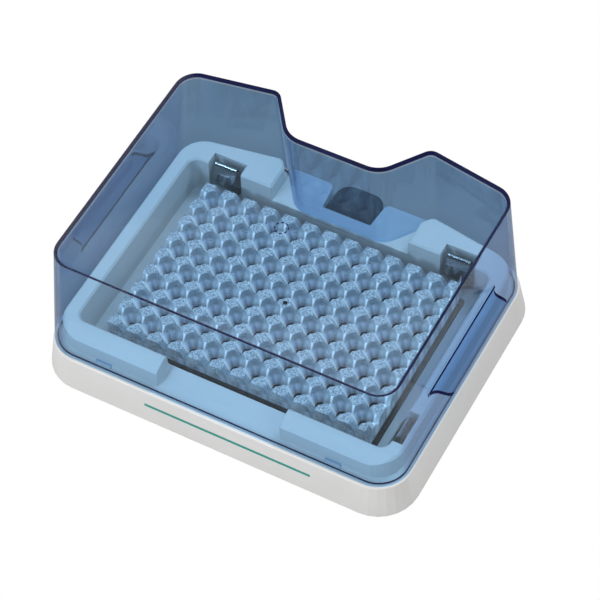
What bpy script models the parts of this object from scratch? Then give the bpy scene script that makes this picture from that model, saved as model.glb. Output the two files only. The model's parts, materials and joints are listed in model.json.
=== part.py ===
"""Dry block heater module: a plastic tray frame round a heated aluminium block with 96 wells, spring clips that
hold a microplate, and a clear cover that lifts off. Metres, +Z up, origin on the table under the frame's centre;
+X is the long side (12 wells), -Y is the front."""

import bmesh
import bpy
from math import atan2, cos, pi, radians, sin, tan
from mathutils import Matrix, Vector

MM = 0.001
GAP = 0.3                       # clearance between pieces that touch

# ---- driving dimensions, in millimetres ----
FRAME_HALF_X = 78.0             # outside of the frame at the table
FRAME_FRONT = -60.1
FRAME_BACK_CORNER = 57.7
FRAME_BACK_MIDDLE = 63.4
FRAME_DRAFT = 2.5               # how far the outer wall leans in from the table to the ledge
LEDGE_Z = 15.5                  # step round the collar that the cover stands on
PLATFORM_Z = 17.7               # step behind the wells, inside the cover's recess
COLLAR_Z = 25.3
COLLAR_HALF_X = 71.6
COLLAR_FRONT = -52.9
COLLAR_BACK_CORNER = 52.0
COLLAR_END_X = 30.0             # the collar is open between these at the back
PIT_CENTRE_Y = -1.0
PIT_HALF = (65.6, 44.0)         # at the collar's top: a microplate's footprint with a lead-in
PIT_HALF_FLOOR = (64.4, 43.2)
PIT_FLOOR_Z = 9.6
FLOOR_THICKNESS = 1.4
WALL = 3.0
COVER_PLATE_Z = 2.0             # thickness of the plate that closes the underside

WELL_PITCH = 9.0
WELL_COUNT = (12, 8)
WELL_TOP_RADIUS = 4.2
WELL_MID_RADIUS = 3.9
WELL_MID_DEPTH = 3.5
WELL_DEPTH = 9.5
WELL_SIDES = 8
GROOVE_WIDTH = 3.65             # 60 degree grooves that link the wells
BLOCK_HALF = (56.0, 38.0)
BLOCK_TOP_Z = 20.8
BLOCK_BOTTOM_Z = 6.7
BLOCK_FLANGE = 3.6              # how far the block's foot stands out under the floor

COVER_BOTTOM_Z = 15.8
COVER_TOP_Z = 65.0
COVER_WALL = 1.5
COVER_BOTTOM = ((75.0, -56.7, 13.0), (75.0, 54.5, 13.0), (31.7, 61.5, 5.0), (18.9, 44.0, 7.0))
COVER_TOP = ((70.4, -50.3, 8.6), (70.4, 52.2, 9.0), (32.3, 58.5, 4.5), (19.1, 40.7, 10.0))
WING_Z = (37.8, 39.8)
WING_Y = (-25.6, 28.8)
WING_OUT_X = 80.7
COVER_TRAVEL = 60.0

CLIP_WIDTH = 9.5
CLIP_STEEL = 0.5
POCKET_WIDTH = 14.5
POCKET_DEPTH = 5.6
CLIP_BACK_X = 51.0
CLIP_RIGHT_Y = -33.5
FINGER_HALF_X = 26.0            # finger recess: the middle of the front collar is a ramp down to the ledge
RAMP_FOOT_Y = -51.0
RAMP_SLOPE = 0.70
REAR_NOTCH_HALF_X = 10.5
REAR_NOTCH_Y = 48.6
TONGUE_BACK_Y = 65.0
STOP_X = 48.7                   # stops inside the cover's front edge
STOP_Z = (16.1, 18.2)
COVER_SCREWS = ((-66.0, -49.0), (66.0, -49.0), (-66.0, 48.0), (66.0, 48.0))
CLAMP_SCREWS = ((-45.0, -28.0), (45.0, -28.0), (-45.0, 26.0), (45.0, 26.0))

for old in list(bpy.data.objects):
    bpy.data.objects.remove(old, do_unlink=True)

parts = bpy.data.collections.new("dry_block_heater")
cutters = bpy.data.collections.new("cutters")
bpy.context.scene.collection.children.link(parts)
bpy.context.scene.collection.children.link(cutters)


# ---- materials ----
def material(name, colour, roughness, metallic=0.0, alpha=1.0):
    made = bpy.data.materials.new(name)
    made.use_nodes = True
    shader = made.node_tree.nodes["Principled BSDF"]
    shader.inputs["Base Color"].default_value = (*colour, 1.0)
    shader.inputs["Roughness"].default_value = roughness
    shader.inputs["Metallic"].default_value = metallic
    shader.inputs["Alpha"].default_value = alpha
    return made


WHITE_PLASTIC = material("white_plastic", (0.78, 0.77, 0.75), 0.45)
COVER_PLASTIC = material("blue_cover", (0.18, 0.42, 0.75), 0.08, alpha=0.4)
ALUMINIUM = material("aluminium", (0.72, 0.74, 0.76), 0.3, 1.0)
SPRING_STEEL = material("spring_steel", (0.55, 0.55, 0.56), 0.2, 1.0)
SCREW_STEEL = material("screw_steel", (0.5, 0.5, 0.5), 0.35, 1.0)
BLACK_RUBBER = material("black_rubber", (0.02, 0.02, 0.02), 0.7)
BLACK_PLASTIC = material("black_plastic", (0.05, 0.055, 0.06), 0.5)
SILICONE_MAT = material("silicone_mat", (0.5, 0.12, 0.04), 0.7)
FOAM = material("foam", (0.25, 0.25, 0.26), 0.9)
CIRCUIT_BOARD = material("circuit_board", (0.03, 0.18, 0.08), 0.5)
SENSOR_STEEL = material("sensor_steel", (0.6, 0.6, 0.62), 0.3, 1.0)
LEAD_RED = material("lead_red", (0.5, 0.03, 0.03), 0.5)
LEAD_WHITE = material("lead_white", (0.75, 0.75, 0.72), 0.5)


# ---- helpers ----
def add(name, mesh, finish=None, collection=parts):
    made = bpy.data.objects.new(name, mesh)
    collection.objects.link(made)
    if finish:
        mesh.materials.append(finish)
    if collection is cutters:
        made.hide_render = True
        made.display_type = "WIRE"
    return made


def box(name, low, high, finish=None, collection=parts):
    bm = bmesh.new()
    bmesh.ops.create_cube(bm, size=1.0)
    size = Vector(high) - Vector(low)
    centre = (Vector(high) + Vector(low)) / 2
    bmesh.ops.transform(bm, matrix=Matrix.Diagonal((*(size * MM), 1.0)), verts=bm.verts)
    bmesh.ops.translate(bm, vec=centre * MM, verts=bm.verts)
    mesh = bpy.data.meshes.new(name)
    bm.to_mesh(mesh)
    bm.free()
    return add(name, mesh, finish, collection)


def cylinder(name, x, y, z_low, z_high, radius, finish=None, collection=parts, sides=16):
    bm = bmesh.new()
    bmesh.ops.create_cone(bm, cap_ends=True, segments=sides, radius1=radius * MM, radius2=radius * MM,
                          depth=(z_high - z_low) * MM)
    bmesh.ops.translate(bm, vec=Vector((x, y, (z_low + z_high) / 2)) * MM, verts=bm.verts)
    mesh = bpy.data.meshes.new(name)
    bm.to_mesh(mesh)
    bm.free()
    return add(name, mesh, finish, collection)


def mirrored(half):
    """A whole outline from its +X half, given front to back: (x, y, corner radius)."""
    return list(half) + [(-x, y, r) for x, y, r in reversed(half)]


def offset_outline(corners, distance):
    """The outline moved inwards by distance. Its corners run anticlockwise."""
    count = len(corners)
    moved = []
    for i in range(count):
        before, here, after = (Vector(corners[(i + k) % count][:2]) for k in (-1, 0, 1))
        into = (here - before).normalized()
        out = (after - here).normalized()
        normal_in = Vector((-into.y, into.x))
        normal_out = Vector((-out.y, out.x))
        bisector = (normal_in + normal_out).normalized()
        place = here + bisector * (distance / bisector.dot(normal_in))
        turn = into.x * out.y - into.y * out.x
        radius = corners[i][2] - distance if turn > 0 else corners[i][2] + distance
        moved.append((place.x, place.y, max(radius, 0.4)))
    return moved


def blend_outline(low, high, share):
    return [tuple(a + (b - a) * share for a, b in zip(p, q)) for p, q in zip(low, high)]


def rounded(corners, steps=7):
    """Points along the outline with each corner drawn as an arc."""
    points = []
    count = len(corners)
    for i in range(count):
        before, here, after = (Vector(corners[(i + k) % count][:2]) for k in (-1, 0, 1))
        into = (here - before).normalized()
        out = (after - here).normalized()
        turn = atan2(into.x * out.y - into.y * out.x, into.dot(out))
        radius = corners[i][2]
        reach = radius * tan(abs(turn) / 2)
        side = 1 if turn > 0 else -1
        centre = here - into * reach + Vector((-into.y, into.x)) * radius * side
        start = here - into * reach - centre
        for k in range(steps + 1):
            angle = turn * k / steps
            spoke = Vector((start.x * cos(angle) - start.y * sin(angle), start.x * sin(angle) + start.y * cos(angle)))
            points.append(centre + spoke)
    return points


def ring(corners, z, steps=7):
    return [Vector((p.x, p.y, z)) for p in rounded(corners, steps)]


def loft(name, rings, finish=None, collection=parts, hollow=None):
    """A solid through rings of equal count, lowest first. With hollow, the inner rings leave a shell open below."""
    bm = bmesh.new()

    def skin(levels, flip):
        rows = [[bm.verts.new(p * MM) for p in level] for level in levels]
        for low, high in zip(rows, rows[1:]):
            for i in range(len(low)):
                j = (i + 1) % len(low)
                face = (low[i], low[j], high[j], high[i])
                bm.faces.new(face[::-1] if flip else face)
        top = rows[-1]
        bm.faces.new(top[::-1] if flip else top)
        return rows[0]

    bottom = skin(rings, False)
    if hollow:
        inner = skin(hollow, True)
        for i in range(len(bottom)):
            j = (i + 1) % len(bottom)
            bm.faces.new((bottom[j], bottom[i], inner[i], inner[j]))
    else:
        bm.faces.new(bottom[::-1])
    mesh = bpy.data.meshes.new(name)
    bm.to_mesh(mesh)
    bm.free()
    return add(name, mesh, finish, collection)


def plate(name, corners, z_low, z_high, finish=None, collection=parts, steps=7):
    return loft(name, [ring(corners, z_low, steps), ring(corners, z_high, steps)], finish, collection)


def rectangle(half_x, half_y, radius, centre_y=0.0):
    return mirrored([(half_x, centre_y - half_y, radius), (half_x, centre_y + half_y, radius)])


def apply_boolean(target, tool, operation):
    modifier = target.modifiers.new(operation.lower() + "_" + tool.name, "BOOLEAN")
    modifier.operation = operation
    modifier.object = tool
    modifier.solver = "EXACT"


def cut(target, *tools):
    for tool in tools:
        apply_boolean(target, tool, "DIFFERENCE")


def join(target, *tools):
    for tool in tools:
        apply_boolean(target, tool, "UNION")


def smooth(item, angle=40.0):
    item.data.shade_smooth()
    item.data.set_sharp_from_angle(angle=radians(angle))


# ---- the tray frame ----
FRAME_CORNERS = mirrored([
    (FRAME_HALF_X, FRAME_FRONT, 16.4),
    (FRAME_HALF_X, FRAME_BACK_CORNER, 15.0),
    (34.0, FRAME_BACK_MIDDLE, 20.0),
])
COLLAR_CORNERS = mirrored([
    (COLLAR_HALF_X, COLLAR_FRONT, 11.0),
    (COLLAR_HALF_X, COLLAR_BACK_CORNER, 11.0),
    (COLLAR_END_X + 3.2, 58.2, 3.0),
    (COLLAR_END_X, 54.0, 2.0),
    (COLLAR_END_X, 40.0, 0.5),
])


def front_slope():
    """Cuts the front collar's top down towards the front in a gentle curve."""
    section = [(-57.0, 20.0), (-52.9, 22.8), (-51.6, 23.9), (-49.6, 24.8), (-46.9, 25.4), (-46.9, 28.0), (-57.0, 28.0)]
    return loft("front_slope", [[Vector((x, y, z)) for y, z in section] for x in (-80.0, 80.0)], collection=cutters)


def finger_recess():
    """Cuts the ramp: sections along X, raised at both ends so that the ends meet the ramp in a small round."""
    sections = []
    ends = ((0.8, 0.0), (0.15, 0.35), (0.0, 1.2))
    places = [(-FINGER_HALF_X + inward, rise) for inward, rise in reversed(ends)]
    places += [(FINGER_HALF_X - inward, rise) for inward, rise in ends]
    for x, rise in places:
        foot = RAMP_FOOT_Y - 1.745 * rise
        floor = [(foot - 1.0, 0.0), (foot + 0.1, 0.22), (foot + 1.2, 1.2 * RAMP_SLOPE),
                 (-43.5, (-43.5 - foot) * RAMP_SLOPE)]
        outline = [(-58.5, LEDGE_Z), *((y, LEDGE_Z + z) for y, z in floor), (-43.5, 28.5), (-58.5, 28.5)]
        sections.append([Vector((x, y, z)) for y, z in outline])
    return loft("finger_recess", sections, collection=cutters)


def tray_frame():
    frame = loft("base_frame", [
        ring(offset_outline(FRAME_CORNERS, 0.4), 0.0),
        ring(FRAME_CORNERS, 0.5),
        ring(offset_outline(FRAME_CORNERS, FRAME_DRAFT), LEDGE_Z - 0.5),
        ring(offset_outline(FRAME_CORNERS, FRAME_DRAFT + 0.5), LEDGE_Z),
    ], WHITE_PLASTIC)
    collar = loft("collar_shape", [
        ring(COLLAR_CORNERS, LEDGE_Z - 2.0),
        ring(COLLAR_CORNERS, COLLAR_Z - 0.9),
        ring(offset_outline(COLLAR_CORNERS, 0.9), COLLAR_Z),
    ], collection=cutters)
    platform_corners = mirrored([(COLLAR_END_X + 0.4, 39.0, 0.5), (COLLAR_END_X + 0.4, 61.1, 1.5)])
    platform = loft("platform_shape", [
        ring(platform_corners, LEDGE_Z - 2.0),
        ring(platform_corners, PLATFORM_Z - 0.6),
        ring(offset_outline(platform_corners, 0.6), PLATFORM_Z),
    ], collection=cutters)
    join(frame, collar, platform)

    pit = loft("pit_shape", [
        ring(rectangle(*PIT_HALF_FLOOR, 3.5, PIT_CENTRE_Y), PIT_FLOOR_Z),
        ring(rectangle(*PIT_HALF, 4.0, PIT_CENTRE_Y), COLLAR_Z - 0.8),
        ring(rectangle(PIT_HALF[0] + 0.9, PIT_HALF[1] + 0.9, 4.5, PIT_CENTRE_Y), COLLAR_Z + 0.2),
    ], collection=cutters)
    hollow = plate("hollow_shape", offset_outline(FRAME_CORNERS, WALL + 0.5), -1.0,
                   PIT_FLOOR_Z - FLOOR_THICKNESS, collection=cutters)
    opening = plate("block_opening", rectangle(BLOCK_HALF[0] + 1.2, BLOCK_HALF[1] + 1.2, 1.6, PIT_CENTRE_Y),
                    0.0, PIT_FLOOR_Z + 1.0, collection=cutters, steps=2)
    cut(frame, pit, hollow, opening)

    back_wall = PIT_CENTRE_Y + PIT_HALF_FLOOR[1]
    for side in (-1, 1):
        x = side * CLIP_BACK_X
        pocket = box(f"pocket_back_{side}", (x - POCKET_WIDTH / 2, back_wall - 1.0, PIT_FLOOR_Z),
                     (x + POCKET_WIDTH / 2, back_wall + POCKET_DEPTH + 0.8, COLLAR_Z + 1.0), collection=cutters)
        cut(frame, pocket)
    pocket = box("pocket_right", (PIT_HALF_FLOOR[0] - 1.0, CLIP_RIGHT_Y - POCKET_WIDTH / 2, PIT_FLOOR_Z),
                 (PIT_HALF_FLOOR[0] + POCKET_DEPTH, CLIP_RIGHT_Y + POCKET_WIDTH / 2, COLLAR_Z + 1.0),
                 collection=cutters)
    rear_notch = plate("rear_notch", mirrored([(REAR_NOTCH_HALF_X, REAR_NOTCH_Y, 0.4),
                                               (REAR_NOTCH_HALF_X + 1.0, 59.4, 1.2),
                                               (REAR_NOTCH_HALF_X + 3.5, 61.3, 0.5),
                                               (REAR_NOTCH_HALF_X + 3.5, 70.0, 0.5)]),
                       4.0, 30.0, collection=cutters, steps=3)
    cut(frame, pocket, front_slope(), finger_recess(), rear_notch)

    for n, (x, y) in enumerate(COVER_SCREWS, 1):
        post = cylinder(f"post_{n}", x, y, COVER_PLATE_Z + 2 * GAP, PIT_FLOOR_Z, 3.4, collection=cutters, sides=12)
        join(frame, post)
        bore = cylinder(f"post_bore_{n}", x, y, 0.0, PIT_FLOOR_Z + 1.0, 1.45, collection=cutters, sides=12)
        cut(frame, bore)
    smooth(frame)
    return frame


def clip_screw_holes(frame):
    for name, (x, y) in CLIP_SCREWS.items():
        hole = cylinder(f"{name}_hole", x, y, PIT_FLOOR_Z - 3.0, PIT_FLOOR_Z + 1.0, 1.25, collection=cutters,
                        sides=12)
        cut(frame, hole)


# ---- the underside ----
def underside():
    bottom = plate("bottom_cover", offset_outline(FRAME_CORNERS, WALL + 0.5 + GAP), 0.0, COVER_PLATE_Z,
                   WHITE_PLASTIC)
    window = box("board_window", (-13.0, 47.5, -1.0), (13.0, 55.0, COVER_PLATE_Z + 1.0), collection=cutters)
    cut(bottom, window)
    for n, (x, y) in enumerate(COVER_SCREWS, 1):
        hole = cylinder(f"cover_hole_{n}", x, y, -1.0, COVER_PLATE_Z + 1.0, 1.8, collection=cutters, sides=12)
        sink = cylinder(f"cover_sink_{n}", x, y, -1.0, 1.2, 3.2, collection=cutters, sides=12)
        cut(bottom, hole, sink)
        screw = cylinder(f"cover_screw_{n}", x, y, 0.2, 1.1, 2.7, SCREW_STEEL, sides=12)
        shank = cylinder(f"cover_shank_{n}", x, y, 0.9, 6.5, 1.1, collection=cutters, sides=12)
        join(screw, shank)
        smooth(screw)


# ---- the heated block ----
def well_positions():
    for row in range(WELL_COUNT[1]):
        for column in range(WELL_COUNT[0]):
            x = (column - (WELL_COUNT[0] - 1) / 2) * WELL_PITCH
            y = (row - (WELL_COUNT[1] - 1) / 2) * WELL_PITCH + PIT_CENTRE_Y
            yield x, y


def well_cutter():
    """All the wells as one cutter: a straight mouth over a wide cone."""
    bm = bmesh.new()
    mouth = WELL_TOP_RADIUS + 0.05
    levels = ((BLOCK_TOP_Z + 0.4, mouth), (BLOCK_TOP_Z - WELL_MID_DEPTH, WELL_MID_RADIUS))
    tip_z = BLOCK_TOP_Z - WELL_DEPTH
    for x, y in well_positions():
        rows = []
        for z, radius in levels:
            rows.append([bm.verts.new(Vector((x + radius * cos(2 * pi * (k + 0.5) / WELL_SIDES),
                                              y + radius * sin(2 * pi * (k + 0.5) / WELL_SIDES), z)) * MM)
                         for k in range(WELL_SIDES)])
        tip = bm.verts.new(Vector((x, y, tip_z)) * MM)
        bm.faces.new(rows[0])
        for k in range(WELL_SIDES):
            j = (k + 1) % WELL_SIDES
            bm.faces.new((rows[0][k], rows[1][k], rows[1][j], rows[0][j]))
            bm.faces.new((rows[1][k], tip, rows[1][j]))
    bmesh.ops.recalc_face_normals(bm, faces=bm.faces)
    mesh = bpy.data.meshes.new("wells")
    bm.to_mesh(mesh)
    bm.free()
    return add("wells", mesh, collection=cutters)


def groove_cutter(name, along_x):
    """Grooves with 60 degree sides through every row, or through every column, of wells."""
    bm = bmesh.new()
    half = GROOVE_WIDTH / 2
    rise = 0.6
    depth = half * tan(radians(60.0))
    count = WELL_COUNT[1] if along_x else WELL_COUNT[0]
    reach = BLOCK_HALF[0] + 2.0 if along_x else BLOCK_HALF[1] + 2.0
    top = half + rise / tan(radians(60.0))
    section = ((-top, rise), (top, rise), (0.0, -depth))
    for n in range(count):
        across = (n - (count - 1) / 2) * WELL_PITCH
        ends = []
        for end in (-reach, reach):
            corners = []
            for s, z in section:
                place = (end, across + s) if along_x else (across + s, end)
                corners.append(bm.verts.new(Vector((place[0], place[1] + PIT_CENTRE_Y, BLOCK_TOP_Z + z)) * MM))
            ends.append(corners)
        bm.faces.new(ends[0])
        bm.faces.new(ends[1])
        for k in range(3):
            j = (k + 1) % 3
            bm.faces.new((ends[0][k], ends[0][j], ends[1][j], ends[1][k]))
    bmesh.ops.recalc_face_normals(bm, faces=bm.faces)
    mesh = bpy.data.meshes.new(name)
    bm.to_mesh(mesh)
    bm.free()
    return add(name, mesh, collection=cutters)


def heated_block():
    hx, hy = BLOCK_HALF
    block = plate("heating_block", rectangle(hx, hy, 1.0, PIT_CENTRE_Y), BLOCK_BOTTOM_Z, BLOCK_TOP_Z, ALUMINIUM,
                  steps=2)
    foot = plate("block_foot", rectangle(hx + BLOCK_FLANGE, hy + BLOCK_FLANGE, 2.0, PIT_CENTRE_Y),
                 BLOCK_BOTTOM_Z, PIT_FLOOR_Z - FLOOR_THICKNESS - GAP, collection=cutters, steps=2)
    join(block, foot)
    cut(block, groove_cutter("row_grooves", True), groove_cutter("column_grooves", False), well_cutter())
    probe_bore = cylinder("probe_bore", 0.0, PIT_CENTRE_Y, 0.0, 15.0, 1.7, collection=cutters, sides=12)
    vent = cylinder("probe_vent", 0.0, PIT_CENTRE_Y, 14.0, 30.0, 0.65, collection=cutters, sides=8)
    cut(block, probe_bore, vent)
    for n, (x, y) in enumerate(CLAMP_SCREWS, 1):
        cut(block, cylinder(f"clamp_bore_{n}", x, y, 0.0, 12.0, 1.55, collection=cutters, sides=12))
    return block


def heater_stack():
    """The mat that heats the block, the plate that presses it up, and the foam under both."""
    hx, hy = BLOCK_HALF
    mat = box("heater_mat", (-hx, PIT_CENTRE_Y - hy, 5.6), (hx, PIT_CENTRE_Y + hy, 6.4), SILICONE_MAT)
    clamp = box("clamp_plate", (-hx - 1, PIT_CENTRE_Y - hy - 1, 4.3), (hx + 1, PIT_CENTRE_Y + hy + 1, 5.3), ALUMINIUM)
    pad = box("insulation_pad", (-hx - 2, PIT_CENTRE_Y - hy - 2, 2.3), (hx + 2, PIT_CENTRE_Y + hy + 2, 4.0), FOAM)
    lead_hole = cylinder("lead_hole", 0.0, PIT_CENTRE_Y, 0.0, 7.0, 1.9, collection=cutters, sides=12)
    cut(mat, lead_hole)
    cut(clamp, lead_hole)
    lead_slot = box("lead_slot", (-7.0, PIT_CENTRE_Y - 2.5, 0.0), (7.0, 45.0, 4.6 - GAP), collection=cutters)
    mat_tail = box("mat_tail_slot", (-20.0, 20.0, 3.9), (-10.0, 45.0, 5.5), collection=cutters)
    cut(pad, lead_slot)
    cut(clamp, mat_tail)
    fuse_slot = box("fuse_slot", (-34.0, 24.0, 0.0), (-6.0, 45.0, 4.3 - GAP), collection=cutters)
    cut(pad, fuse_slot)
    for n, (x, y) in enumerate(CLAMP_SCREWS, 1):
        cut(mat, cylinder(f"mat_hole_{n}", x, y, 0.0, 7.0, 1.55, collection=cutters, sides=12))
        cut(clamp, cylinder(f"clamp_hole_{n}", x, y, 0.0, 7.0, 1.55, collection=cutters, sides=12))
        cut(pad, cylinder(f"pad_hole_{n}", x, y, 0.0, 7.0, 3.2, collection=cutters, sides=12))
        screw = cylinder(f"clamp_screw_{n}", x, y, 2.6, 4.0, 2.4, SCREW_STEEL, sides=12)
        shank = cylinder(f"clamp_shank_{n}", x, y, 3.8, 11.0, 1.2, collection=cutters, sides=12)
        join(screw, shank)
        smooth(screw)

    seal_corners = rectangle(hx + 1.2 - 0.25, hy + 1.2 - 0.25, 1.4, PIT_CENTRE_Y)
    seal = plate("block_seal", seal_corners, PIT_FLOOR_Z - 1.2, PIT_FLOOR_Z + 0.55, BLACK_RUBBER, steps=2)
    seal_hole = plate("seal_hole", rectangle(hx + 0.25, hy + 0.25, 1.2, PIT_CENTRE_Y), 0.0, PIT_FLOOR_Z + 2.0,
                      collection=cutters, steps=2)
    cut(seal, seal_hole)
    sensor = cylinder("temperature_sensor", 0.0, PIT_CENTRE_Y, 7.0, 14.6, 1.35, SENSOR_STEEL, sides=12)
    smooth(sensor)


# ---- electrics at the back ----
def tube(name, points, radius, finish):
    """A wire through points, as a curve with round section and closed ends."""
    curve = bpy.data.curves.new(name, "CURVE")
    curve.dimensions = "3D"
    curve.bevel_depth = radius * MM
    curve.bevel_resolution = 1
    curve.use_fill_caps = True
    spline = curve.splines.new("POLY")
    spline.points.add(len(points) - 1)
    for slot, p in zip(spline.points, points):
        slot.co = (p[0] * MM, p[1] * MM, p[2] * MM, 1.0)
    made = bpy.data.objects.new(name, curve)
    parts.objects.link(made)
    curve.materials.append(finish)
    return made


def electrics():
    tongue = mirrored([(REAR_NOTCH_HALF_X - GAP, REAR_NOTCH_Y + GAP, 0.6),
                       (REAR_NOTCH_HALF_X - GAP, TONGUE_BACK_Y, 6.0)])
    connector = loft("rear_connector", [ring(tongue, 5.0), ring(tongue, 14.8), ring(offset_outline(tongue, 0.4), 15.2)],
                     BLACK_PLASTIC)
    smooth(connector)
    box("contact_board", (-20.0, 45.6, 3.2), (20.0, 58.0, 4.4), CIRCUIT_BOARD)
    fuse = cylinder("thermal_fuse", 0.0, 0.0, -5.0, 5.0, 0.9, BLACK_PLASTIC, sides=12)
    fuse.location = Vector((-22.0, 33.0, 3.1)) * MM
    fuse.rotation_euler = (0.0, radians(90.0), 0.0)
    smooth(fuse)
    tube("heater_lead_1", [(-28.5, 33.0, 3.1), (-30.5, 34.5, 3.1), (-31.0, 38.0, 3.1), (-26.0, 41.0, 3.1),
                           (-18.0, 42.5, 3.1), (-17.0, 44.8, 3.4)], 0.45, LEAD_RED)
    tube("heater_lead_2", [(-15.5, 33.0, 3.1), (-13.5, 34.5, 3.1), (-12.5, 39.0, 3.1), (-12.5, 44.8, 3.4)],
         0.45, LEAD_RED)
    tube("sensor_lead", [(0.0, PIT_CENTRE_Y, 6.6), (0.0, PIT_CENTRE_Y, 4.0), (0.0, 0.5, 3.1), (0.0, 20.0, 3.0),
                         (2.0, 35.0, 3.0), (3.0, 44.8, 3.4)], 0.5, LEAD_WHITE)


# ---- spring clips ----
# The strip's path: outward distance from the pit wall, height. It starts at the screwed foot.
CLIP_PATH = ((4.4, 10.15), (1.3, 10.15), (0.9, 10.6), (-2.1, 16.6), (-2.2, 17.4), (1.3, 24.9), (1.8, 25.1),
             (2.6, 24.9), (3.1, 22.6))
SCREW_OUT = 2.9
CLIP_AXIS = (SCREW_OUT, 10.15)


def strip_outline(path, thickness):
    """The path thickened on its pocket side, as one closed outline."""
    left = []
    right = []
    for i, p in enumerate(path):
        here = Vector(p)
        before = (here - Vector(path[i - 1])).normalized() if i else None
        after = (Vector(path[i + 1]) - here).normalized() if i + 1 < len(path) else None
        if before and after:
            along = (before + after).normalized()
            stretch = 1.0 / max(along.dot(before), 0.5)
        else:
            along = before or after
            stretch = 1.0
        normal = Vector((along.y, -along.x)) * (thickness / 2 * stretch)
        left.append(here + normal)
        right.append(here - normal)
    return left + right[::-1]


def clip(name, place, turn):
    """A clip at place on the pit wall; turn is the direction out of the pit, in degrees about Z from +X."""
    outline = strip_outline(CLIP_PATH, CLIP_STEEL)
    bm = bmesh.new()
    sides = []
    for along in (-CLIP_WIDTH / 2, CLIP_WIDTH / 2):
        sides.append([bm.verts.new(Vector((p.x - CLIP_AXIS[0], along, p.y - CLIP_AXIS[1])) * MM) for p in outline])
    bm.faces.new(sides[0])
    bm.faces.new(sides[1][::-1])
    for i in range(len(outline)):
        j = (i + 1) % len(outline)
        bm.faces.new((sides[0][j], sides[0][i], sides[1][i], sides[1][j]))
    bmesh.ops.recalc_face_normals(bm, faces=bm.faces)
    mesh = bpy.data.meshes.new(name)
    bm.to_mesh(mesh)
    bm.free()
    made = add(name, mesh, SPRING_STEEL)
    heading = Matrix.Rotation(radians(turn), 4, "Z")
    axis_place = Vector(place) + heading @ Vector((CLIP_AXIS[0], 0.0, CLIP_AXIS[1]))
    made.location = axis_place * MM
    made.rotation_euler = (0.0, 0.0, radians(turn))
    return made


BACK_WALL = PIT_CENTRE_Y + PIT_HALF_FLOOR[1] + 0.8
RIGHT_WALL = PIT_HALF_FLOOR[0] + 0.8
CLIPS = {
    "clip_back_left": ((-CLIP_BACK_X, BACK_WALL, 0.0), 90.0),
    "clip_back_right": ((CLIP_BACK_X, BACK_WALL, 0.0), 90.0),
    "clip_right": ((RIGHT_WALL, CLIP_RIGHT_Y, 0.0), 0.0),
}
CLIP_SCREWS = {
    "clip_screw_back_left": (-CLIP_BACK_X, BACK_WALL + SCREW_OUT),
    "clip_screw_back_right": (CLIP_BACK_X, BACK_WALL + SCREW_OUT),
    "clip_screw_right": (RIGHT_WALL + SCREW_OUT, CLIP_RIGHT_Y),
}


def clips():
    made = {name: clip(name, place, turn) for name, (place, turn) in CLIPS.items()}
    for name, (x, y) in CLIP_SCREWS.items():
        foot_hole = cylinder(f"{name}_foot_hole", x, y, PIT_FLOOR_Z - 1.0, PIT_FLOOR_Z + 1.5, 1.25,
                             collection=cutters, sides=12)
        cut(made[name.replace("clip_screw", "clip")], foot_hole)
        screw = cylinder(name, x, y, 10.15 + CLIP_STEEL / 2 + GAP, 11.6, 1.5, SCREW_STEEL, sides=12)
        shank = cylinder(f"{name}_shank", x, y, 7.4, 11.0, 0.95, collection=cutters, sides=12)
        join(screw, shank)
        smooth(screw)


# ---- the clear cover ----
def cover_outline(z, inset=0.0):
    share = (z - COVER_BOTTOM_Z) / (COVER_TOP_Z - COVER_BOTTOM_Z)
    return offset_outline(blend_outline(mirrored(COVER_BOTTOM), mirrored(COVER_TOP), share), inset)


def cover_edge(inset):
    """The lower edge: it steps up where the recess stands on the platform."""
    points = ring(cover_outline(COVER_BOTTOM_Z, inset), COVER_BOTTOM_Z)
    for p in points:
        if abs(p.x) < 34.0 and p.y > 35.0:
            p.z = PLATFORM_Z + GAP
    return points


def wing(name, side):
    """The finger wing on one side wall, a flat plate with hollowed ends."""
    x_wall = 72.3
    x_edge = WING_OUT_X
    low, high = WING_Y
    outline = []
    for end, inward in ((low, 1), (high, -1)):
        arc = [(x_wall, end)]
        arc += [(x_wall + 4.2 - 3.3 * cos(a), end + inward * (3.2 * sin(a))) for a in (0.0, 0.5, 1.0, 1.45)]
        arc += [(x_edge - 2.2 + 2.2 * sin(a), end + inward * (5.8 - 2.2 * cos(a))) for a in (0.15, 0.8, 1.45)]
        outline += arc if inward == 1 else arc[::-1]
    points = [Vector((side * x, y, 0.0)) for x, y in outline]
    if side < 0:
        points.reverse()
    rings = [[Vector((p.x, p.y, z)) for p in points] for z in WING_Z]
    return loft(name, rings, collection=cutters)


def clear_cover():
    top_edge = COVER_TOP_Z - 0.5
    outer = [cover_edge(0.0), ring(cover_outline(PLATFORM_Z + 2.0), PLATFORM_Z + 2.0),
             ring(cover_outline(top_edge), top_edge),
             ring(cover_outline(COVER_TOP_Z, 0.4), COVER_TOP_Z)]
    inner_top = COVER_TOP_Z - COVER_WALL
    inner = [cover_edge(COVER_WALL), ring(cover_outline(PLATFORM_Z + 2.0, COVER_WALL), PLATFORM_Z + 2.0),
             ring(cover_outline(inner_top, COVER_WALL), inner_top)]
    cover = loft("lid", outer, COVER_PLASTIC, hollow=inner)
    join(cover, wing("wing_right", 1), wing("wing_left", -1))
    for side in (-1, 1):
        stop = box(f"edge_stop_{side}", (side * STOP_X - 3.2, -55.4, STOP_Z[0]), (side * STOP_X + 3.2, -53.9, STOP_Z[1]),
                   collection=cutters)
        join(cover, stop)
    smooth(cover)
    return cover


base = tray_frame()
clip_screw_holes(base)
underside()
heated_block()
heater_stack()
electrics()
clips()
clear_cover()
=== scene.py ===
import json
from math import atan2, cos, pi, radians, sin, tan

import bmesh
import bpy
from mathutils import Matrix, Vector


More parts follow.
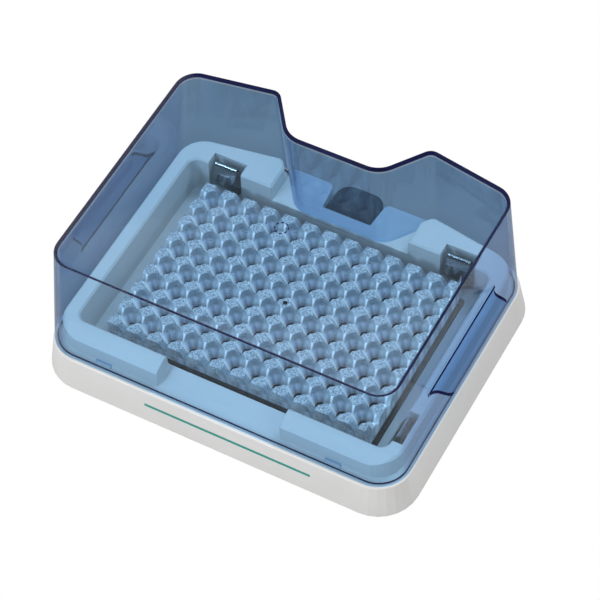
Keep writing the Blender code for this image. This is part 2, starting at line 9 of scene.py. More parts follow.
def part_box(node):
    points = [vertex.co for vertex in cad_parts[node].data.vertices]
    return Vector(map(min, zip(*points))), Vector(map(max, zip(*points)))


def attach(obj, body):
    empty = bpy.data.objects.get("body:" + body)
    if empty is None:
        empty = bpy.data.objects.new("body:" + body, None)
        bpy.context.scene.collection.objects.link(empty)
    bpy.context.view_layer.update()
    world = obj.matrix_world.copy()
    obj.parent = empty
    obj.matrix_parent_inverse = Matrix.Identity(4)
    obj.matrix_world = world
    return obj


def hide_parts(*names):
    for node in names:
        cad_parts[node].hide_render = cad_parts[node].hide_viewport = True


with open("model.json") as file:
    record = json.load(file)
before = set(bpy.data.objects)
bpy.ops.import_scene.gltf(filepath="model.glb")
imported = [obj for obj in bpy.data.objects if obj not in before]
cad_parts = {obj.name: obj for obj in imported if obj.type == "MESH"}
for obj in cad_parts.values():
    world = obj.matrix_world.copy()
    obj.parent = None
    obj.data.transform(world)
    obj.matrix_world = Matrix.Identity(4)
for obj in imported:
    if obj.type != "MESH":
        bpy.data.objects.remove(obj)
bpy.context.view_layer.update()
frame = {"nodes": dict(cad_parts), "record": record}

MM = 0.001
PITCH = 9.0 * MM                # between wells
scene = bpy.context.scene

# ---- camera: a long lens from above the right front corner ----
camera_data = bpy.data.cameras.new("camera")
camera_data.lens = 146.2
camera_data.sensor_width = 36.0
camera_data.clip_start = 0.05
camera_data.clip_end = 10.0
camera = bpy.data.objects.new("camera", camera_data)
scene.collection.objects.link(camera)
camera.matrix_world = Matrix((
    (0.87895, -0.35985, 0.31296, 0.29369),
    (0.47502, 0.71891, -0.50746, -0.46636),
    (-0.04238, 0.59470, 0.80283, 0.76283),
    (0.0, 0.0, 0.0, 1.0),
))
scene.camera = camera
scene.view_settings.view_transform = "Standard"
scene.cycles.use_denoising = True


# ---- node helpers ----
class Nodes:
    """A material, or the world, and short calls that add nodes to it."""

    def __init__(self, name, world=False):
        self.material = (bpy.data.worlds if world else bpy.data.materials).new(name)
        self.material.use_nodes = True
        self.tree = self.material.node_tree
        if world:
            self.shader = self.tree.nodes["Background"]
            self.place = self.tree.nodes.new("ShaderNodeTexCoord").outputs["Generated"]
        else:
            self.shader = self.tree.nodes["Principled BSDF"]
            self.output = self.tree.nodes["Material Output"]
            self.place = self.tree.nodes.new("ShaderNodeNewGeometry").outputs["Position"]

    def add(self, kind, **settings):
        node = self.tree.nodes.new(kind)
        for key, value in settings.items():
            setattr(node, key, value)
        return node

    def link(self, a, b):
        self.tree.links.new(a, b)

    def set(self, **values):
        for key, value in values.items():
            self.shader.inputs[key.replace("_", " ")].default_value = value

    def scaled(self, scale):
        mapping = self.add("ShaderNodeMapping")
        mapping.inputs["Scale"].default_value = scale if hasattr(scale, "__len__") else (scale,) * 3
        self.link(self.place, mapping.inputs["Vector"])
        return mapping.outputs["Vector"]

    def noise(self, scale, detail=4.0, roughness=0.5):
        node = self.add("ShaderNodeTexNoise")
        node.inputs["Scale"].default_value = 1.0
        node.inputs["Detail"].default_value = detail
        node.inputs["Roughness"].default_value = roughness
        self.link(self.scaled(scale), node.inputs["Vector"])
        return node.outputs["Fac"]

    def ramp(self, value, *stops):
        node = self.add("ShaderNodeValToRGB")
        elements = node.color_ramp.elements
        while len(elements) < len(stops):
            elements.new(0.5)
        for element, (position, colour) in zip(elements, stops):
            element.position = position
            element.color = (*colour, 1.0) if len(colour) == 3 else colour
        self.link(value, node.inputs["Fac"])
        return node.outputs["Color"]

    def math(self, operation, a, b=0.0, clamp=False):
        node = self.add("ShaderNodeMath", operation=operation, use_clamp=clamp)
        for socket, value in zip(node.inputs, (a, b)):
            if isinstance(value, (int, float)):
                socket.default_value = value
            else:
                self.link(value, socket)
        return node.outputs[0]

    def remap(self, value, low, high, to_low=0.0, to_high=1.0):
        node = self.add("ShaderNodeMapRange")
        for key, number in (("From Min", low), ("From Max", high), ("To Min", to_low), ("To Max", to_high)):
            node.inputs[key].default_value = number
        self.link(value, node.inputs["Value"])
        return node.outputs["Result"]

    def mix(self, factor, a, b):
        node = self.add("ShaderNodeMix", data_type="RGBA")
        for socket, value in zip((node.inputs[0], node.inputs[6], node.inputs[7]), (factor, a, b)):
            if hasattr(value, "is_linked"):
                self.link(value, socket)
            elif isinstance(value, (int, float)):
                socket.default_value = value
            else:
                socket.default_value = (*value, 1.0)
        return node.outputs[2]

    def bump(self, height, strength, distance, normal=None):
        node = self.add("ShaderNodeBump")
        node.inputs["Strength"].default_value = strength
        node.inputs["Distance"].default_value = distance
        self.link(height, node.inputs["Height"])
        if normal is not None:
            self.link(normal, node.inputs["Normal"])
        return node.outputs["Normal"]

    def edges(self, radius):
        node = self.add("ShaderNodeBevel", samples=6)
        node.inputs["Radius"].default_value = radius
        return node.outputs["Normal"]

    def axis(self, name):
        node = self.add("ShaderNodeSeparateXYZ")
        self.link(self.place, node.inputs[0])
        return node.outputs[name]


def white_plastic():
    m = Nodes("moulded_white")
    m.set(Roughness=0.42, Specular_IOR_Level=0.45)
    cloud = m.noise(35.0, 3.0)
    body = m.ramp(cloud, (0.3, (0.56, 0.553, 0.545)), (0.7, (0.59, 0.583, 0.575)))
    # the printed line low on the front wall
    x, y, z = m.axis("X"), m.axis("Y"), m.axis("Z")
    inside = m.math("MULTIPLY", m.math("GREATER_THAN", x, -0.0294), m.math("LESS_THAN", x, 0.0411))
    height = m.math("LESS_THAN", m.math("ABSOLUTE", m.math("SUBTRACT", z, 0.0088)), 0.00062)
    front = m.math("LESS_THAN", y, -0.058)
    mask = m.math("MULTIPLY", m.math("MULTIPLY", inside, height), front)
    m.link(m.mix(mask, body, (0.012, 0.235, 0.19)), m.shader.inputs["Base Color"])
    grain = m.noise(2600.0, 2.0)
    m.link(m.remap(m.noise(180.0), 0.3, 0.7, 0.38, 0.48), m.shader.inputs["Roughness"])
    m.link(m.bump(grain, 0.12, 0.00006, m.edges(0.0005)), m.shader.inputs["Normal"])
    return m.material


def aluminium():
    """Machined alloy. The wells' bands and flash and the bright webs are painted reflections and highlights,
    by place on the block, that these lamps don't give; the dark tips deep in the wells are painted shade."""
    m = Nodes("machined_aluminium")
    low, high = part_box("heating_block")
    middle = ((low[0] + high[0]) / 2, (low[1] + high[1]) / 2, high[2])
    mottle = m.noise(1500.0, 2.0, 0.6)
    land = m.ramp(mottle, (0.36, (0.28, 0.31, 0.34)), (0.64, (0.80, 0.83, 0.86)))

    def vector(operation, value, other=None):
        node = m.add("ShaderNodeVectorMath", operation=operation)
        m.link(value, node.inputs[0])
        if other is not None:
            node.inputs[1].default_value = other
        return node.outputs["Value" if operation in ("DISTANCE", "LENGTH", "DOT_PRODUCT") else "Vector"]

    # where in its own 9 mm cell the place is, from -0.5 to 0.5
    cell = vector("SUBTRACT", m.place, middle)
    cell = vector("MULTIPLY", cell, (1 / PITCH, 1 / PITCH, 0.0))
    cell = vector("SUBTRACT", vector("FRACTION", cell), (0.5, 0.5, 0.0))
    flat = vector("MULTIPLY", cell, (1.0, 1.0, 0.0))
    well_reach = 0.485          # the well's radius over the pitch
    in_well = m.math("LESS_THAN", vector("LENGTH", flat), well_reach)
    m.link(vector("CROSS_PRODUCT", flat, (0.0, 0.0, 1.0)), m.shader.inputs["Tangent"])
    m.link(m.math("MULTIPLY", in_well, 0.6), m.shader.inputs["Anisotropic"])

    # painted reflection bands and highlights round the well's axis; 0.5 is the wall at the back left
    turn = m.math("ARCTAN2", vector("DOT_PRODUCT", flat, (-0.848, -0.53, 0.0)),
                  vector("DOT_PRODUCT", flat, (-0.53, 0.848, 0.0)))
    turn = m.remap(turn, -pi, pi)
    cone = m.ramp(turn, (0.0, (0.45, 0.47, 0.50)), (0.25, (0.55, 0.58, 0.61)), (0.36, (0.86, 0.90, 0.92)),
                  (0.42, (0.52, 0.58, 0.64)), (0.47, (0.72, 0.78, 0.90)), (0.52, (0.92, 0.96, 1.0)),
                  (0.57, (0.50, 0.56, 0.74)), (0.62, (0.80, 0.86, 0.92)), (0.68, (1.0, 1.0, 1.0)),
                  (0.76, (1.0, 1.0, 1.0)), (0.81, (0.45, 0.48, 0.50)), (1.0, (0.35, 0.37, 0.40)))
    rim = m.ramp(turn, (0.0, (0.35, 0.36, 0.40)), (0.30, (0.66, 0.70, 0.73)), (0.40, (0.46, 0.52, 0.56)),
                 (0.50, (0.34, 0.40, 0.45)), (0.60, (0.50, 0.56, 0.61)), (0.68, (1.0, 1.0, 1.0)),
                 (0.76, (1.0, 1.0, 1.0)), (0.81, (0.45, 0.48, 0.52)), (1.0, (0.35, 0.36, 0.40)))
    deep = m.remap(m.axis("Z"), high[2] - 0.0030, high[2] - 0.0044)
    well = m.mix(deep, rim, cone)
    alloy = m.mix(in_well, land, well)
    # painted shade at the wells' dark tips, then painted highlights on the webs' back slopes between wells
    # side by side
    sideways = m.math("ABSOLUTE", vector("DOT_PRODUCT", flat, (1.0, 0.0, 0.0)))
    shade = m.remap(m.axis("Z"), high[2] - 0.0073, high[2] - 0.0077)
    alloy = m.mix(shade, alloy, (0.012, 0.02, 0.035))
    facing = vector("DOT_PRODUCT", m.add("ShaderNodeNewGeometry").outputs["Normal"], (0.0, -0.866, 0.5))
    web = m.math("MULTIPLY", m.math("GREATER_THAN", facing, 0.93), m.math("GREATER_THAN", sideways, 0.40))
    web = m.math("MULTIPLY", web, m.math("SUBTRACT", 1.0, in_well))
    # the painted highlight inside each well, at the lower left; where painted highlights lie the alloy is
    # less metallic
    flash = m.ramp(turn, (0.64, (0.0,) * 3), (0.68, (1.0,) * 3), (0.76, (1.0,) * 3), (0.80, (0.0,) * 3))
    bright = m.math("MAXIMUM", web, m.math("MULTIPLY", in_well, flash))
    alloy = m.mix(web, alloy, (1.0, 1.0, 1.0))
    m.link(m.remap(bright, 0.0, 1.0, 0.45, 0.0), m.shader.inputs["Metallic"])
    # a small near-black spot painted in the middle of the top
    middle_dark_spot = m.math("LESS_THAN", vector("DISTANCE", m.place, middle), 0.00095)
    m.link(m.mix(middle_dark_spot, alloy, (0.004, 0.004, 0.006)), m.shader.inputs["Base Color"])
    m.link(m.remap(m.noise(700.0, 3.0), 0.3, 0.7, 0.26, 0.36), m.shader.inputs["Roughness"])
    m.link(m.bump(m.noise(1500.0, 2.0), 0.05, 0.00008, m.edges(0.00015)), m.shader.inputs["Normal"])
    return m.material


def plain_metal(name, colour, roughness, scale=(2500.0, 2500.0, 120.0)):
    m = Nodes(name)
    m.set(Metallic=1.0)
    lines = m.noise(scale, 3.0)
    dark = tuple(c * 0.8 for c in colour)
    m.link(m.ramp(lines, (0.3, dark), (0.7, colour)), m.shader.inputs["Base Color"])
    m.link(m.remap(lines, 0.3, 0.7, roughness * 0.8, roughness * 1.3), m.shader.inputs["Roughness"])
    m.link(m.bump(lines, 0.1, 0.00004), m.shader.inputs["Normal"])
    return m.material


def dull(name, colour, roughness, scale=900.0, depth=0.0001, spread=0.25):
    m = Nodes(name)
    speckle = m.noise(scale, 4.0)
    low = tuple(c * (1.0 - spread) for c in colour)
    high = tuple(min(c * (1.0 + spread), 1.0) for c in colour)
    m.link(m.ramp(speckle, (0.3, low), (0.7, high)), m.shader.inputs["Base Color"])
    m.link(m.remap(speckle, 0.3, 0.7, roughness * 0.85, min(roughness * 1.15, 1.0)),
           m.shader.inputs["Roughness"])
    m.link(m.bump(speckle, 0.3, depth, m.edges(0.0003)), m.shader.inputs["Normal"])
    return m.material


def blue_cover():
    """Clear blue plastic as a tinted sheet, glossier towards grazing. Lamps shine through it."""
    m = Nodes("clear_blue")
    m.tree.nodes.remove(m.shader)
    facing = m.add("ShaderNodeLayerWeight")
    facing.inputs["Blend"].default_value = 0.5
    grazing = facing.outputs["Facing"]
    gloss = m.math("ADD", m.math("MULTIPLY", m.math("POWER", grazing, 5.0), 0.8), 0.03)
    tint = m.ramp(grazing, (0.0, (0.73, 0.84, 0.945)), (0.5, (0.69, 0.82, 0.935)), (1.0, (0.30, 0.42, 0.72)))
    sheet = m.add("ShaderNodeBsdfTransparent")
    m.link(tint, sheet.inputs["Color"])
    shine = m.add("ShaderNodeBsdfGlossy")
    shine.inputs["Roughness"].default_value = 0.05
    m.link(m.bump(m.noise((90.0, 90.0, 9.0), 0.0), 0.05, 0.0005), shine.inputs["Normal"])
    seen = m.add("ShaderNodeMixShader")
    m.link(gloss, seen.inputs[0])
    m.link(sheet.outputs[0], seen.inputs[1])
    m.link(shine.outputs[0], seen.inputs[2])
    lamp_sheet = m.add("ShaderNodeBsdfTransparent")
    lamp_sheet.inputs["Color"].default_value = (0.83, 0.935, 1.0, 1.0)
    path = m.add("ShaderNodeLightPath")
    through = m.math("MAXIMUM", path.outputs["Is Shadow Ray"],
                     m.math("MAXIMUM", path.outputs["Is Diffuse Ray"], path.outputs["Is Glossy Ray"]))
    mix = m.add("ShaderNodeMixShader")
    m.link(through, mix.inputs[0])
    m.link(seen.outputs[0], mix.inputs[1])
    m.link(lamp_sheet.outputs[0], mix.inputs[2])
    m.link(mix.outputs[0], m.output.inputs["Surface"])
    return m.material


def cover_rim():
    """The plastic seen edge on, where its colour builds up."""
    m = Nodes("cover_edge")
    m.set(Roughness=0.4, Specular_IOR_Level=0.05)
    m.link(m.ramp(m.noise(90.0), (0.3, (0.003, 0.003, 0.03)), (0.7, (0.006, 0.006, 0.05))),
           m.shader.inputs["Base Color"])
    return m.material


def paint(node, finish):
    item = bpy.data.objects[node] if node in bpy.data.objects else frame["nodes"][node]
    item.data.materials.clear()
    item.data.materials.append(finish)


WHITE = white_plastic()
BLUE = blue_cover()
EDGE = cover_rim()
ALLOY = aluminium()
SPRING = plain_metal("spring_strip", (0.36, 0.37, 0.38), 0.14)
SCREW = plain_metal("screw_metal", (0.5, 0.5, 0.5), 0.35, (1500.0,) * 3)
SENSOR = plain_metal("sensor_tube", (0.65, 0.65, 0.66), 0.2)
DARK = dull("dark_fitting", (0.045, 0.05, 0.055), 0.5)
RUBBER = dull("seal_rubber", (0.03, 0.03, 0.03), 0.75)
FOAM = dull("open_foam", (0.12, 0.12, 0.13), 0.95, 500.0, 0.0005)
MAT = dull("silicone_sheet", (0.35, 0.07, 0.02), 0.65, 300.0)
BOARD = dull("board_lacquer", (0.02, 0.13, 0.05), 0.35, 200.0, 0.00003)
RED = dull("red_insulation", (0.4, 0.02, 0.02), 0.45, 1500.0, 0.00002, 0.1)
PALE = dull("pale_insulation", (0.6, 0.6, 0.57), 0.45, 1500.0, 0.00002, 0.1)

FINISHES = {
    "white_plastic": WHITE, "blue_cover": BLUE, "aluminium": ALLOY, "spring_steel": SPRING,
    "screw_steel": SCREW,
    "sensor_steel": SENSOR, "black_rubber": RUBBER, "black_plastic": DARK, "silicone_mat": MAT, "foam": FOAM,
    "circuit_board": BOARD, "lead_red": RED, "lead_white": PALE,
}
for entry in frame["record"]["subparts"]:
    paint(entry["node"], FINISHES[entry["material_slot"]])


# ---- mesh helpers ----
def mesh_piece(name, bm, finishes, body, node_names, smooth_angle=40.0):
    mesh = bpy.data.meshes.new(name)
    bm.to_mesh(mesh)
    bm.free()
    made = bpy.data.objects.new(name, mesh)
    scene.collection.objects.link(made)
    for finish in finishes:
        mesh.materials.append(finish)
    mesh.shade_smooth()
    mesh.set_sharp_from_angle(angle=radians(smooth_angle))
    if node_names:
        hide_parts(*node_names)
    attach(made, body)
    return made


def boolean(target, tools, operation):
    """The EXACT result of target with each tool, as a new bmesh. All of them are removed."""
    for tool in tools:
        modifier = target.modifiers.new("cut", "BOOLEAN")
        modifier.operation = operation
        modifier.object = tool
        modifier.solver = "EXACT"
    graph = bpy.context.evaluated_depsgraph_get()
    bm = bmesh.new()
    bm.from_mesh(target.evaluated_get(graph).to_mesh())
    for item in [target, *tools]:
        bpy.data.objects.remove(item, do_unlink=True)
    return bm


def rough_object(bm):
    mesh = bpy.data.meshes.new("tool")
    bm.to_mesh(mesh)
    bm.free()
    made = bpy.data.objects.new("tool", mesh)
    scene.collection.objects.link(made)
    return made


def skin(bm, rows, material_index=0, close=True):
    """Quads between rows of vertices, each row a closed ring."""
    for low, high in zip(rows, rows[1:]):
        for i in range(len(low)):
            j = (i + 1) % len(low)
            if close or j:
                bm.faces.new((low[i], low[j], high[j], high[i])).material_index = material_index


def prism(section, low, high, axis):
    """A solid with a constant section, a list of (across, z), along x or y."""
    bm = bmesh.new()
    ends = []
    for end in (low, high):
        if axis == "x":
            ends.append([bm.verts.new((end, a, z)) for a, z in section])
        else:
            ends.append([bm.verts.new((a, end, z)) for a, z in section])
    bm.faces.new(ends[0])
    bm.faces.new(ends[1])
    skin(bm, ends)
    bmesh.ops.recalc_face_normals(bm, faces=bm.faces)
    return bm


def box_mesh(low, high):
    section = [(low[1], low[2]), (high[1], low[2]), (high[1], high[2]), (low[1], high[2])]
    return prism(section, low[0], high[0], "x")


def lathe(profile, sides):
    """A closed solid turned about Z from (radius, z) pairs, top first."""
    bm = bmesh.new()
    angles = [2 * pi * k / sides for k in range(sides)]
    rows = [[bm.verts.new((r * cos(a), r * sin(a), z)) for a in angles] for r, z in profile]
    skin(bm, rows)
    bm.faces.new(rows[0])
    bm.faces.new(rows[-1][::-1])
    bmesh.ops.recalc_face_normals(bm, faces=bm.faces)
    return bm


# ---- heated block: 12 x 8 deep cones joined by 60 degree grooves ----
COLUMNS, ROWS = 12, 8
GROOVE = 3.65 * MM
WELL = ((4.32, 0.30), (4.32, 0.02), (4.15, -0.15), (3.95, -3.30), (3.80, -3.60), (1.10, -9.20), (0.95, -11.5))


def groove_section(centre):
    half, rise = GROOVE / 2, 0.5 * MM
    slope = tan(radians(60.0))
    spread = half + rise / slope
    return [(centre - spread, rise), (centre + spread, rise), (centre, -half * slope)]


def without_planes(bm, planes):
    """Deletes the faces that lie on any of the planes (axis index, value)."""
    doomed = []
    for face in bm.faces:
        for axis, value in planes:
            if all(abs(v.co[axis] - value) < 1e-6 for v in face.verts):
                doomed.append(face)
                break
    bmesh.ops.delete(bm, geom=doomed, context="FACES")
    return bm


def add_copies(target, source, places):
    """Appends source's mesh to target at each place."""
    mesh = bpy.data.meshes.new("tile")
    source.to_mesh(mesh)
    source.free()
    for place in places:
        start = len(target.verts)
        target.from_mesh(mesh)
        target.verts.ensure_lookup_table()
        bmesh.ops.translate(target, vec=place, verts=target.verts[start:])
    bpy.data.meshes.remove(mesh)


def heated_block():
    low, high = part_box("heating_block")
    top, bottom = high[2], low[2]
    centre_y = (low[1] + high[1]) / 2
    foot = 3.6 * MM
    half_x, half_y = (high[0] - low[0]) / 2 - foot, (high[1] - low[1]) / 2 - foot
    field_x, field_y = COLUMNS * PITCH / 2, ROWS * PITCH / 2
    depth = top - bottom
    half = PITCH / 2
    whole = bmesh.new()

    tile = rough_object(box_mesh((-half, -half, -depth), (half, half, 0.0)))
    tools = [rough_object(prism(groove_section(0.0), -PITCH, PITCH, "x")),
             rough_object(prism(groove_section(0.0), -PITCH, PITCH, "y")),
             rough_object(lathe([(r * MM, z * MM) for r, z in WELL], 40))]
    cell = without_planes(boolean(tile, tools, "DIFFERENCE"),
                          [(0, -half), (0, half), (1, -half), (1, half), (2, -depth)])
    columns = [(i + 0.5) * PITCH - field_x for i in range(COLUMNS)]
    rows = [(j + 0.5) * PITCH - field_y + centre_y for j in range(ROWS)]
    add_copies(whole, cell, [Vector((x, y, top)) for x in columns for y in rows])
    for side in (-1, 1):
        inner, outer = sorted((side * field_x, side * half_x))
        strip = rough_object(box_mesh((inner, -half, -depth), (outer, half, 0.0)))
        groove = rough_object(prism(groove_section(0.0), inner - half, outer + half, "x"))
        edge = without_planes(boolean(strip, [groove], "DIFFERENCE"),
                              [(0, side * field_x), (1, -half), (1, half), (2, -depth)])
        add_copies(whole, edge, [Vector((0.0, y, top)) for y in rows])
        inner, outer = sorted((side * field_y, side * half_y))
        strip = rough_object(box_mesh((-half, inner, -depth), (half, outer, 0.0)))
        groove = rough_object(prism(groove_section(0.0), inner - half, outer + half, "y"))
        edge = without_planes(boolean(strip, [groove], "DIFFERENCE"),
                              [(1, side * field_y), (0, -half), (0, half), (2, -depth)])
        add_copies(whole, edge, [Vector((x, centre_y, top)) for x in columns])
        for other in (-1, 1):
            xs = sorted((side * field_x, side * half_x))
            ys = sorted((other * field_y, other * half_y))
            corner = without_planes(box_mesh((xs[0], ys[0], -depth), (xs[1], ys[1], 0.0)),
                                    [(0, side * field_x), (1, other * field_y), (2, -depth)])
            add_copies(whole, corner, [Vector((0.0, centre_y, top))])
    bmesh.ops.remove_doubles(whole, verts=whole.verts, dist=1e-6)
    add_copies(whole, box_mesh((low[0], -half_y - foot, 0.0), (high[0], half_y + foot, 1.2 * MM)),
               [Vector((0.0, centre_y, bottom))])
    return mesh_piece("block_with_wells", whole, [ALLOY], "module", ["heating_block"], 30.0)


heated_block()


# ---- plate clips: one bent strip each, from the screwed foot up over the fold ----
CLIP_PATH = ((4.4, 10.15), (1.3, 10.15), (0.9, 10.6), (-2.1, 16.6), (-2.2, 17.4), (1.25, 24.85), (1.8, 25.1),
             (2.6, 24.9), (3.1, 22.6))
CLIP_SCREW = (2.9, 10.15)
CLIP_WIDTH = 9.5
CLIP_STEEL = 0.5


def eased(path, rounds=3):
    """The path with its corners cut again and again, so that it bends smoothly."""
    points = [Vector(p) for p in path]
    for _ in range(rounds):
        cut = [points[0]]
        for a, b in zip(points, points[1:]):
            cut += [a.lerp(b, 0.25), a.lerp(b, 0.75)]
        points = cut + [points[-1]]
    return points


def clip(name, joint, turn, body):
    path = eased(CLIP_PATH)
    heading = Matrix.Rotation(radians(turn), 4, "Z")
    pivot = Vector(joint["pos_m"])
    bm = bmesh.new()
    rows = []
    for i, p in enumerate(path):
        along = (path[min(i + 1, len(path) - 1)] - path[max(i - 1, 0)]).normalized()
        normal = Vector((along.y, -along.x)) * CLIP_STEEL / 2
        row = []
        for shift, side in ((normal, -1), (normal, 1), (-normal, 1), (-normal, -1)):
            q = p + shift
            flat = Vector((q.x - CLIP_SCREW[0], side * CLIP_WIDTH / 2, q.y - CLIP_SCREW[1])) * MM
            row.append(bm.verts.new(pivot + heading @ flat))
        rows.append(row)
    skin(bm, rows)
    bm.faces.new(rows[0])
    bm.faces.new(rows[-1][::-1])
    bmesh.ops.recalc_face_normals(bm, faces=bm.faces)
    return mesh_piece(name + "_strip", bm, [SPRING], body, [name], 50.0)


JOINTS = {j["name"]: j for j in frame["record"]["behaviour"]["joints"]}
clip("clip_back_left", JOINTS["clip_back_left_flex"], 90.0, "left_rear_clip")
clip("clip_back_right", JOINTS["clip_back_right_flex"], 90.0, "right_rear_clip")
clip("clip_right", JOINTS["clip_right_flex"], 0.0, "side_clip")


# ---- clear cover ----
COVER_LOW, COVER_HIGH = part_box("lid")
COVER_BOTTOM = ((75.0, -56.7, 13.0), (75.0, 54.5, 13.0), (31.7, 61.5, 5.0), (18.9, 44.0, 7.0))
COVER_TOP = ((70.4, -50.3, 8.6), (70.4, 52.2, 9.0), (32.3, 58.5, 4.5), (19.1, 40.7, 10.0))
COVER_WALL = 1.5
SHELF = 18.0                    # height of the cover's edge over the platform at the back


def offset_outline(corners, distance):
    count = len(corners)
    moved = []
    for i in range(count):
        before, here, after = (Vector(corners[(i + k) % count][:2]) for k in (-1, 0, 1))
        into, out = (here - before).normalized(), (after - here).normalized()
        normal_in, normal_out = Vector((-into.y, into.x)), Vector((-out.y, out.x))
        bisector = (normal_in + normal_out).normalized()
        place = here + bisector * (distance / bisector.dot(normal_in))
        turn = into.x * out.y - into.y * out.x
        radius = corners[i][2] + (-distance if turn > 0 else distance)
        moved.append((place.x, place.y, max(radius, 0.4)))
    return moved


def rounded(corners, steps=14):
    points = []
    count = len(corners)
    for i in range(count):
        before, here, after = (Vector(corners[(i + k) % count][:2]) for k in (-1, 0, 1))
        into, out = (here - before).normalized(), (after - here).normalized()
        turn = atan2(into.x * out.y - into.y * out.x, into.dot(out))
        radius = corners[i][2]
        reach = radius * tan(abs(turn) / 2)
        side = 1 if turn > 0 else -1
        centre = here - into * reach + Vector((-into.y, into.x)) * radius * side
        start = here - into * reach - centre
        for k in range(steps + 1):
            angle = turn * k / steps
            spoke = Vector((start.x * cos(angle) - start.y * sin(angle),
                            start.x * sin(angle) + start.y * cos(angle)))
            points.append(centre + spoke)
    return points


def cover_ring(bm, z, inset, edge=False):
    """A ring of vertices round the cover at height z (mm), inset from its outside."""
    bottom, top = COVER_LOW[2] / MM, COVER_HIGH[2] / MM
    share = (z - bottom) / (top - bottom)
    whole = [[*half, *((-x, y, r) for x, y, r in reversed(half))] for half in (COVER_BOTTOM, COVER_TOP)]
    corners = [tuple(a + (b - a) * share for a, b in zip(p, q)) for p, q in zip(*whole)]
    ring = []
    for p in rounded(offset_outline(corners, inset)):
        on_shelf = edge and abs(p.x) < 34.0 and p.y > 35.0
        ring.append(bm.verts.new(Vector((p.x, p.y, SHELF if on_shelf else z)) * MM))
    return ring


def shell(bm, outer, inner):
    """A shell closed on top, from rings listed from the bottom up."""
    skin(bm, outer)
    bm.faces.new(outer[-1])
    skin(bm, [row[::-1] for row in inner])
    bm.faces.new(inner[-1][::-1])
    count = len(outer[0])
    for i in range(count):
        j = (i + 1) % count
        bm.faces.new((outer[0][j], outer[0][i], inner[0][i], inner[0][j]))


def band(bm, line):
    """A thin closed band round the cover through (inset, z) corners of its section."""
    rows = [cover_ring(bm, z, inset) for inset, z in line]
    skin(bm, [*rows, rows[0]], 1)


def wing_outline(side):
    low, high = -25.6, 28.8
    wall, edge = 72.3, COVER_HIGH[0] / MM
    outline = []
    for end, inward in ((low, 1), (high, -1)):
        arc = [(wall, end)]
        for k in range(9):
            a = 1.45 * k / 8
            arc.append((wall + 4.2 - 3.3 * cos(a), end + inward * 3.2 * sin(a)))
        for k in range(9):
            a = 0.15 + 1.3 * k / 8
            arc.append((edge - 2.2 + 2.2 * sin(a), end + inward * (5.8 - 2.2 * cos(a))))
        arc[-1] = (edge, arc[-1][1])
        outline += arc if inward == 1 else arc[::-1]
    points = [(side * x, y) for x, y in outline]
    return points if side > 0 else points[::-1]


def wing(side, low=37.8, high=39.8):
    bm = bmesh.new()
    rows = [[bm.verts.new(Vector((x, y, z)) * MM) for x, y in wing_outline(side)] for z in (low, high)]
    skin(bm, rows)
    bm.faces.new(rows[1])
    bm.faces.new(rows[0][::-1])
    return bm


def clear_cover():
    top = COVER_HIGH[2] / MM
    bottom = COVER_LOW[2] / MM
    inner_top = top - COVER_WALL
    bm = bmesh.new()
    outer = [cover_ring(bm, bottom, 0.0, True), cover_ring(bm, SHELF + 1.7, 0.0),
             cover_ring(bm, top - 0.5, 0.0), cover_ring(bm, top - 0.2, 0.08), cover_ring(bm, top, 0.4)]
    inner = [cover_ring(bm, bottom, COVER_WALL, True), cover_ring(bm, SHELF + 1.7, COVER_WALL),
             cover_ring(bm, inner_top - 0.5, COVER_WALL), cover_ring(bm, inner_top, COVER_WALL + 0.5)]
    shell(bm, outer, inner)
    body = rough_object(bm)
    tools = [rough_object(wing(side)) for side in (-1, 1)]
    for side in (-1, 1):
        x = side * 48.7
        tools.append(rough_object(box_mesh(((x - 3.2) * MM, -55.4 * MM, 16.1 * MM),
                                           ((x + 3.2) * MM, -53.9 * MM, 18.2 * MM))))
    whole = boolean(body, tools, "UNION")
    for face in whole.faces:
        face.material_index = 0
        centre = face.calc_center_median() / MM
        if 37.9 < centre.z < 39.7 and abs(centre.x) > 73.0 and abs(face.normal.y) > 0.25:
            face.material_index = 1
    # the corner of the top, where the plastic is seen edge on
    band(whole, [(0.06, top - 0.62), (1.02, top - 1.58), (1.44, top - 1.20), (0.34, top - 0.05),
                 (0.06, top - 0.26)])
    # the lower inner edge, a thin dark line
    band(whole, [(1.05, bottom + 0.06), (1.05, bottom + 0.42), (1.44, bottom + 0.42), (1.44, bottom + 0.06)])
    # where the wings leave the walls
    for side in (-1, 1):
        near, far = sorted((side * 72.95, side * 73.5))
        rows = [[whole.verts.new(Vector((x, y, z)) * MM) for x, y in
                 ((near, -25.2), (far, -25.2), (far, 28.4), (near, 28.4))] for z in (39.2, 39.65)]
        skin(whole, rows, 1)
        whole.faces.new(rows[1]).material_index = 1
        whole.faces.new(rows[0][::-1]).material_index = 1
    # the gate mark in the middle of the top
    gate = ((2.35, top - 0.3), (2.75, top - 0.3), (2.75, top - 0.1), (2.35, top - 0.1))
    for k in range(8):
        spokes = [2 * pi * (k + f) / 8 for f in (0.12, 0.3, 0.5, 0.7)]
        rows = []
        for a in spokes:
            rows.append([whole.verts.new(Vector((r * cos(a), 0.6 + r * sin(a), z)) * MM)
                         for r, z in gate])
        skin(whole, rows, 1)
        whole.faces.new(rows[0]).material_index = 1
        whole.faces.new(rows[-1][::-1]).material_index = 1
    return mesh_piece("clear_cover", whole, [BLUE, EDGE], "cover", ["lid"], 35.0)


clear_cover()

# ---- floor and light: the floor gives the camera plain white and takes no shadow ----
bm = bmesh.new()
bmesh.ops.create_grid(bm, x_segments=1, y_segments=1, size=3.0)
floor_mesh = bpy.data.meshes.new("floor")
bm.to_mesh(floor_mesh)
bm.free()
floor = bpy.data.objects.new("floor", floor_mesh)
scene.collection.objects.link(floor)
floor.location.z = -0.0001


def before_and_behind(m, path):
    """White to the camera, and a darker grey where the clear cover is in front, which deepens the cover."""
    covered = m.math("GREATER_THAN", path.outputs["Transparent Depth"], 0.5)
    return m.mix(covered, (1.0, 1.0, 1.0), (0.43, 0.405, 0.385))


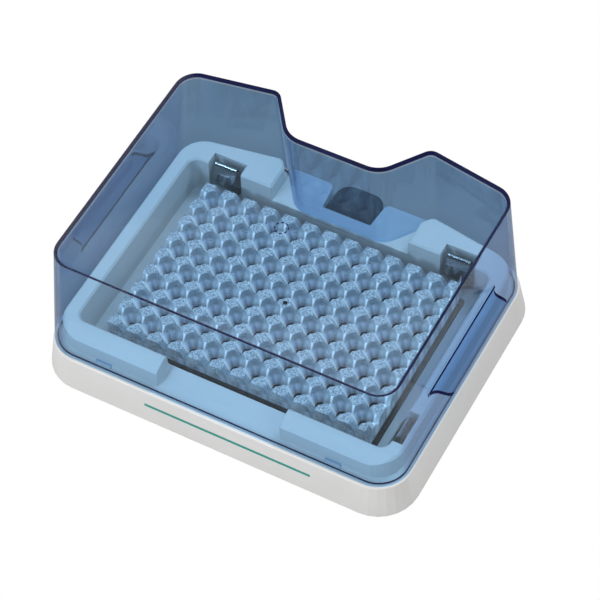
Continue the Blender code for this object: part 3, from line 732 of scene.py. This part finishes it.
pale = Nodes("pale_floor")
pale.set(Base_Color=(0.5, 0.5, 0.5, 1.0), Roughness=0.9)
floor_path = pale.add("ShaderNodeLightPath")
flat = pale.add("ShaderNodeEmission")
pale.link(before_and_behind(pale, floor_path), flat.inputs["Color"])
floor_mix = pale.add("ShaderNodeMixShader")
pale.link(floor_path.outputs["Is Camera Ray"], floor_mix.inputs[0])
pale.link(pale.shader.outputs[0], floor_mix.inputs[1])
pale.link(flat.outputs[0], floor_mix.inputs[2])
pale.link(floor_mix.outputs[0], pale.output.inputs["Surface"])
floor.data.materials.append(pale.material)

studio = Nodes("studio", world=True)
up, right = studio.axis("Z"), studio.axis("X")
room = studio.ramp(up, (0.0, (0.18, 0.18, 0.18)), (0.8, (0.95, 0.95, 0.95)))
mirrored_room = studio.ramp(up, (0.0, (0.04, 0.045, 0.05)), (0.35, (0.12, 0.13, 0.14)),
                            (0.72, (0.42, 0.43, 0.44)), (0.86, (0.50, 0.51, 0.52)), (0.93, (1.6, 1.6, 1.6)))
left_panel = studio.remap(right, -0.55, -0.75)
mirrored_room = studio.mix(left_panel, mirrored_room, (2.0, 2.0, 2.0))
sight = studio.add("ShaderNodeLightPath")
lit = studio.mix(sight.outputs["Is Glossy Ray"], room, mirrored_room)
studio.link(studio.mix(sight.outputs["Is Camera Ray"], lit, before_and_behind(studio, sight)),
            studio.shader.inputs["Color"])
scene.world = studio.material


def lamp(name, place, target, size, power):
    data = bpy.data.lights.new(name, "AREA")
    data.shape = "RECTANGLE"
    data.size, data.size_y = size
    data.energy = power
    made = bpy.data.objects.new(name, data)
    scene.collection.objects.link(made)
    made.location = place
    made.rotation_euler = (Vector(target) - Vector(place)).to_track_quat("-Z", "Y").to_euler()
    return made


lamp("key", (-0.5, -0.7, 0.9), (0.0, 0.0, 0.0), (0.6, 0.4), 2.8)
lamp("side", (0.9, -0.15, 0.6), (0.0, 0.0, 0.0), (0.5, 0.5), 2.1)
lamp("front", (-0.42, -1.02, 0.48), (0.0, 0.0, 0.01), (0.25, 0.12), 5.2)
# kept out of reflections, because it laid a white patch on the cover
lamp("back", (0.25, 0.6, 0.9), (0.0, 0.0, 0.0), (0.3, 0.3), 5.0).visible_glossy = False
